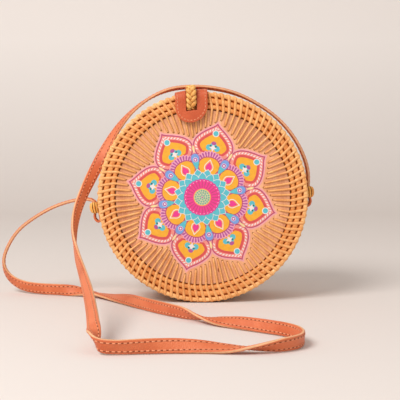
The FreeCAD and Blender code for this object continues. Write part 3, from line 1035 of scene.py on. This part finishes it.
def lug(name, turn_deg):
    """A cane arch bound all the way round, with a knot on each leg."""
    out, aside = rim_frame(turn_deg)
    line, places = spread(lug_arch(), 1.9)
    wraps, core = [], []
    for (y, radius), (run_y, run_r), place in zip(line, runs(line), places):
        centre = at_rim(out, aside, 0, y, radius)
        normal = out * run_y - np.array([0, run_r, 0])
        along = out * run_r + np.array([0, run_y, 0])
        core.append((centre, normal, 6.6, 0.95))
        knot = sin(pi * place / places[-1] * 2) ** 2
        steps = []
        for turn in turns(16):
            side, up = aside * cos(turn), normal * sin(turn)
            reach = side * (3.3 + 1.7 * knot) + up * (0.9 + 1.1 * knot)
            steps.append((centre + reach + along * 0.35 * cos(turn), side + up, 2.0, 0.65))
        wraps.append(steps)
    made = sweep(f"bound_{name}", lug_cane, wraps, half_round, closed=True)
    settle(made, "shell", "bound_cane", name)
    heart = sweep(f"{name}_core", lug_cane, [core], [(a, b * 2) for a, b in cord_round])
    settle(heart, "shell", "bound_cane")


# The tail's line as (aside, radius)
tail_line = [(1.5, 103.6), (4, 104.8), (7, 106.3), (10, 106.5), (12.6, 105.3), (14, 103.4)]
tail_line += [(13.3, 101.6), (10.5, 101.1), (5.5, 101.6)]


def tail(name, turn_deg, down):
    """The strap's end beyond its lug: bowed out, folded at the bottom and back up along the wall."""
    out, aside = rim_frame(turn_deg)
    line = spread([(down * x, radius) for x, radius in tail_line], 0.8)[0]
    steps = []
    for (x, radius), (run_x, run_r) in zip(line, np.gradient(line, axis=0)):
        up = (out * run_x - aside * run_r) * down
        centre = at_rim(out, aside, x, strap_y, radius)
        steps.append((centre, up, strap_width * 0.92, strap_thickness * 0.4))
    made = sweep(f"bowed_{name}", strap_leather, [steps], strap_section)
    settle(made, "shell", "strap_leather", name)
    return made


# The painted mandala: thin layers of paint, one piece for each colour

# One side of each shape as (aside, outward), from its tip inwards
petal_side = [(0, 71), (1.5, 69.2), (3.4, 67.5), (9.8, 62.8), (15, 58), (18.3, 53)]
petal_side += [(19.3, 48), (17.6, 43.2), (14, 39)]
lobe_side = [(0, 38.2), (4.9, 37.2), (8.3, 34.6), (9.8, 31), (9.1, 27.4), (6.6, 23.5), (4, 20.5)]
drop_side = [(0, 41.8), (2.4, 41), (3.8, 38.6), (3.7, 36), (2.9, 33), (1.9, 30)]
drop_side += [(1, 27.5), (0.4, 25.5)]
leaf_side = [(0, 34.2), (1.2, 32.4), (2.7, 30.2), (2.9, 28.2), (2, 26.5), (0, 25.7)]
scale_side = [(0, 26.6), (2.4, 24.4), (4.1, 21.6), (4.5, 18.6), (3.4, 15.5)]
small_scale_side = [(0, 23.4), (1.9, 21.8), (3.3, 19.6), (3.6, 17), (2.6, 14.5)]
star = [(0, 51.4), (1.2, 48.9), (3.6, 47.7), (1.2, 46.5), (0, 43.9), (-1.2, 46.5), (-3.6, 47.7)]
star += [(-1.2, 48.9)]
ray = [(-0.5, 39.0), (0.5, 39.0), (0.85, 42.9), (0.0, 43.9), (-0.85, 42.9)]
fine_ray = [(-0.22, 9.2), (0.22, 9.2), (0.36, 14.9), (-0.36, 14.9)]

tones = {
    "rose": (240, 168, 166),
    "magenta": (188, 70, 112),
    "salmon": (240, 146, 134),
    "coral": (218, 80, 80),
    "amber": (245, 175, 46),
    "turquoise": (92, 192, 204),
    "blue": (122, 160, 222),
    "plum": (176, 78, 168),
    "mulberry": (180, 84, 150),
    "lilac": (236, 164, 190),
    "hot_pink": (236, 58, 142),
    "white": (244, 230, 224),
    "cream": (214, 212, 160),
    "straw": (246, 218, 156),
    "sage": (120, 172, 156),
}
paint = {}


def outline_of(side, distance=0.0):
    """A closed outline from one side of a shape, moved out by a distance and mirrored at its axis."""
    line = spread(side, 0.9)[0]
    along = runs(line)
    line = line + np.stack((-along[:, 1], along[:, 0]), -1) * distance
    kept = line[:, 0] > 0.05
    half = [tuple(point) for point in line[kept]]
    x, radius = half[0]
    run_x, run_r = along[kept][0]
    tip = (0.0, radius - x * run_r / max(run_x, 0.2))
    return [tip] + half + [(-x, radius) for x, radius in reversed(half)]


def turned(outline, turn, x, radius):
    """An outline turned about its own origin and set down with that origin at (x, radius)."""
    cosine, sine = cos(turn), sin(turn)
    return [(x + a * cosine - b * sine, radius + a * sine + b * cosine) for a, b in outline]


def oval(x, radius, half_across, half_out, count=12, turn=0.0):
    outline = [(half_across * cos(angle), half_out * sin(angle)) for angle in turns(count)]
    return turned(outline, turn, x, radius)


def dot(radius, size, count, x=0.0):
    return oval(x, radius, size, size, count)


def toothed(radius, depth, teeth, steps, middle=0.0):
    """A round outline with teeth, each drawn in that many steps."""
    outline = []
    for angle in turns(teeth * steps):
        reach = radius + depth * abs(sin(angle * teeth / 2))
        outline.append((reach * cos(angle), middle + reach * sin(angle)))
    return outline


def around(count, offset=0.0):
    """(number, degrees) of what repeats round the mandala, the first on a petal's axis."""
    return [(number, petal_turn + offset + number * 360 / count) for number in range(count)]


def lay(colour, outline, degrees, level):
    """Adds a flat shape of paint, its outline in (aside, outward), turned to its place."""
    vertices, faces = paint.setdefault(colour, ([], []))
    start, count = len(vertices), len(outline)
    placed = turned(outline, radians(degrees), paint_x, paint_z)
    for y in (panel_y - level * paint_step, panel_y + 0.1):
        vertices.extend((x, y, z) for x, z in placed)
    points = np.array(outline)
    after = np.roll(points, -1, 0)
    signed = np.sum(points[:, 0] * after[:, 1] - after[:, 0] * points[:, 1])
    order = list(range(count)) if signed > 0 else list(reversed(range(count)))
    faces.append(tuple(start + corner for corner in order))
    faces.append(tuple(start + count + corner for corner in reversed(order)))
    for corner, following in zip(order, order[1:] + order[:1]):
        faces.append((start + corner, start + count + corner, start + count + following, start + following))


def dashes(outline, spacing, half_long, half_wide, slant):
    """Small ovals set evenly along an outline beyond the rays, each turned by a slant from its run."""
    points = np.array(outline + outline[:1])
    lengths = run_lengths(points)
    count = int(lengths[-1] / spacing)
    made = []
    for number in range(count):
        place = (number + 0.5) * lengths[-1] / count
        (x, radius), (next_x, next_radius) = read_at(points, lengths, [place, place + 0.3])
        turn = atan2(next_radius - radius, next_x - x) + slant
        if radius > ray_ring_radius - 0.5:
            made.append(oval(x, radius, half_long, half_wide, 8, turn))
    return made


def petals():
    """Pointed petals with borders, a dashed band and a small flower, and a bud between each two."""
    band = dashes(outline_of(petal_side, -2.65), 2.9, 1.35, 0.6, 0.7)
    layers = (("rose", 1.5), ("magenta", 0.0), ("salmon", -1.1), ("coral", -4.2), ("amber", -6.6))
    for number, degrees in around(petal_count):
        odd = 0.15 * (number % 2)
        for level, (colour, distance) in enumerate(layers):
            lay(colour, outline_of(petal_side, distance), degrees, 1 + level + odd)
        for dash in band:
            lay("white", dash, degrees, 5)
        lay("white", dot(61.3, 3.2, 16), degrees, 7)
        lay("turquoise", dot(61.3, 2.45, 16), degrees, 8)
        for x, radius, size in ((-3.9, 47.4, 2.8), (3.9, 47.4, 2.8), (0, 49.8, 3.2)):
            lay("turquoise", dot(radius, size, 14, x), degrees, 7)
        lay("white", star, degrees, 8)
        lay("mulberry", oval(0, 52.0, 2.3, 1.8), degrees, 9)
        lay("straw", oval(0, 46.4, 1.1, 3.4), degrees + 180 / petal_count, 4)


def ray_ring():
    """A pink scalloped ring: round each lobe a toothed disc with short dark rays."""
    teeth = 30
    disc = toothed(14.5, 1.2, teeth, 6, ray_middle)
    from_middle = [(x, outward - ray_middle) for x, outward in ray]
    for number, degrees in around(petal_count):
        lay("lilac", disc, degrees, 8.3 + 0.2 * (number % 2))
        for beside in range(-5, 6):
            turn = radians(beside * 360 / teeth)
            lay("mulberry", turned(from_middle, turn, 0, ray_middle), degrees, 9)


def lobes_and_drops():
    drop = outline_of(drop_side)
    for _, degrees in around(petal_count):
        lay("magenta", outline_of(lobe_side, 0.9), degrees, 10)
        lay("amber", outline_of(lobe_side), degrees, 11)
        lay("white", outline_of(leaf_side, 1.4), degrees, 12)
        lay("amber", outline_of(leaf_side, 0.7), degrees, 13)
        lay("hot_pink", outline_of(leaf_side), degrees, 14)
        valley = degrees + 180 / petal_count
        lay("magenta", outline_of(drop_side, 0.4), valley, 11)
        lay("turquoise", drop, valley, 12)
        lay("blue", [point for point in drop if point[1] > 33.5], valley, 13)
        for level, (colour, size) in enumerate((("white", 2.3), ("plum", 1.9), ("white", 0.9))):
            lay(colour, dot(36.0, size, 14), valley, 14 + level)


def heart_of_mandala():
    """Two rings of scales, a pink disc with fine rays, and a dotted middle."""
    for side, offset, level in ((scale_side, 0, 15), (small_scale_side, 11.25, 18)):
        for number, degrees in around(16, offset):
            lift = 0.2 * (number % 2)
            lay("white", outline_of(side, 0.35), degrees, level + lift)
            lay("turquoise", outline_of(side, -0.1), degrees, level + 1 + lift)
    rays = 28
    disc = toothed(16.4, 0.55, rays, 4)
    lay("plum", [(x * 1.03, radius * 1.03) for x, radius in disc], 0, 20)
    lay("hot_pink", disc, 0, 21)
    for number in range(rays):
        degrees = number * 360 / rays
        lay("magenta", fine_ray, degrees, 22)
        lay("white", dot(15.8, 0.4, 8), degrees + 180 / rays, 22)
    lay("amber", dot(0, 8.2, 48), 0, 22)
    lay("cream", dot(0, 7.5, 48), 0, 23)
    for ring, count in enumerate((6, 12, 18), 1):
        for number in range(count):
            lay("sage", dot(ring * 2.1, 0.9, 10), number * 360 / count + ring * 9, 24)
    lay("plum", dot(0, 0.8, 12), 0, 24)


def mandala():
    petals()
    ray_ring()
    lobes_and_drops()
    heart_of_mandala()
    for colour, (vertices, faces) in paint.items():
        material = plain(f"paint_{colour}", tones[colour])
        made = piece(f"mandala_{colour}", vertices, faces, material, smooth=False)
        settle(made, "lid", "painted_wood")


# Stage


def stage():
    """A pale floor that bends up into a lighter backdrop."""
    material, tree, shader = graph("floor", 0.9)
    parts = node(tree, "SeparateXYZ", Vector=place_on_piece(tree))
    colour = ramp(tree, parts.outputs[2], [(0.0, srgb(224, 214, 207)), (0.4, srgb(250, 242, 236))])
    tree.links.new(colour, shader.inputs["Base Color"])
    half, near, far, high, bend = 3000.0, -2500.0, 1500.0, 2500.0, 500.0
    profile = [(near, 0.0), (far - bend, 0.0)]
    for step in range(1, 12):
        turn = pi / 2 * step / 12
        profile.append((far - bend + bend * sin(turn), bend - bend * cos(turn)))
    profile += [(far, bend), (far, high)]
    vertices = [(x, y, z) for y, z in profile for x in (-half, half)]
    faces = [(2 * n, 2 * n + 1, 2 * n + 3, 2 * n + 2) for n in range(len(profile) - 1)]
    piece("floor_sweep", vertices, faces, material)


def camera():
    """A camera in front of the bag, a little above its middle and to its left."""
    data = bpy.data.cameras.new("camera")
    made = linked("camera", data)
    data.lens = 86.2
    data.sensor_width = 36.0
    made.location = (-0.032, -0.93525, 0.157)
    made.rotation_euler = (radians(90 - 3.75), 0, radians(-1.84))
    bpy.context.scene.camera = made


def lamp(name, place, size, power):
    """A round area lamp, in metres and watts, that points at the bag."""
    target = Vector((0, 0, 0.08))
    data = bpy.data.lights.new(name, "AREA")
    data.shape = "DISK"
    data.size = size
    data.energy = power
    made = linked(name, data)
    made.location = place
    made.rotation_euler = (target - Vector(place)).to_track_quat("-Z", "Y").to_euler()


def lights():
    world = bpy.data.worlds.new("studio")
    world.use_nodes = True
    background = world.node_tree.nodes["Background"]
    background.inputs["Color"].default_value = (1.0, 0.98, 0.96, 1)
    background.inputs["Strength"].default_value = 0.55
    bpy.context.scene.world = world
    lamp("key", (-0.95, -1.1, 1.35), 0.9, 29)
    lamp("fill", (1.3, -0.9, 0.7), 1.0, 2.0)
    bpy.context.scene.view_settings.view_transform = "Standard"


camera()
lights()
stage()
front_rim()
front_panel()
mandala()
shells()
coiled_back()
lashings()
closure_plait()
leather_tab()
tab_stitches()
root_backing()
lug("left_lug", left_lug_turn)
lug("right_lug", right_lug_turn)
left_tail = tail("left_strap_tail", left_lug_turn, -1)
right_tail = tail("right_strap_tail", right_lug_turn, 1)
strap()
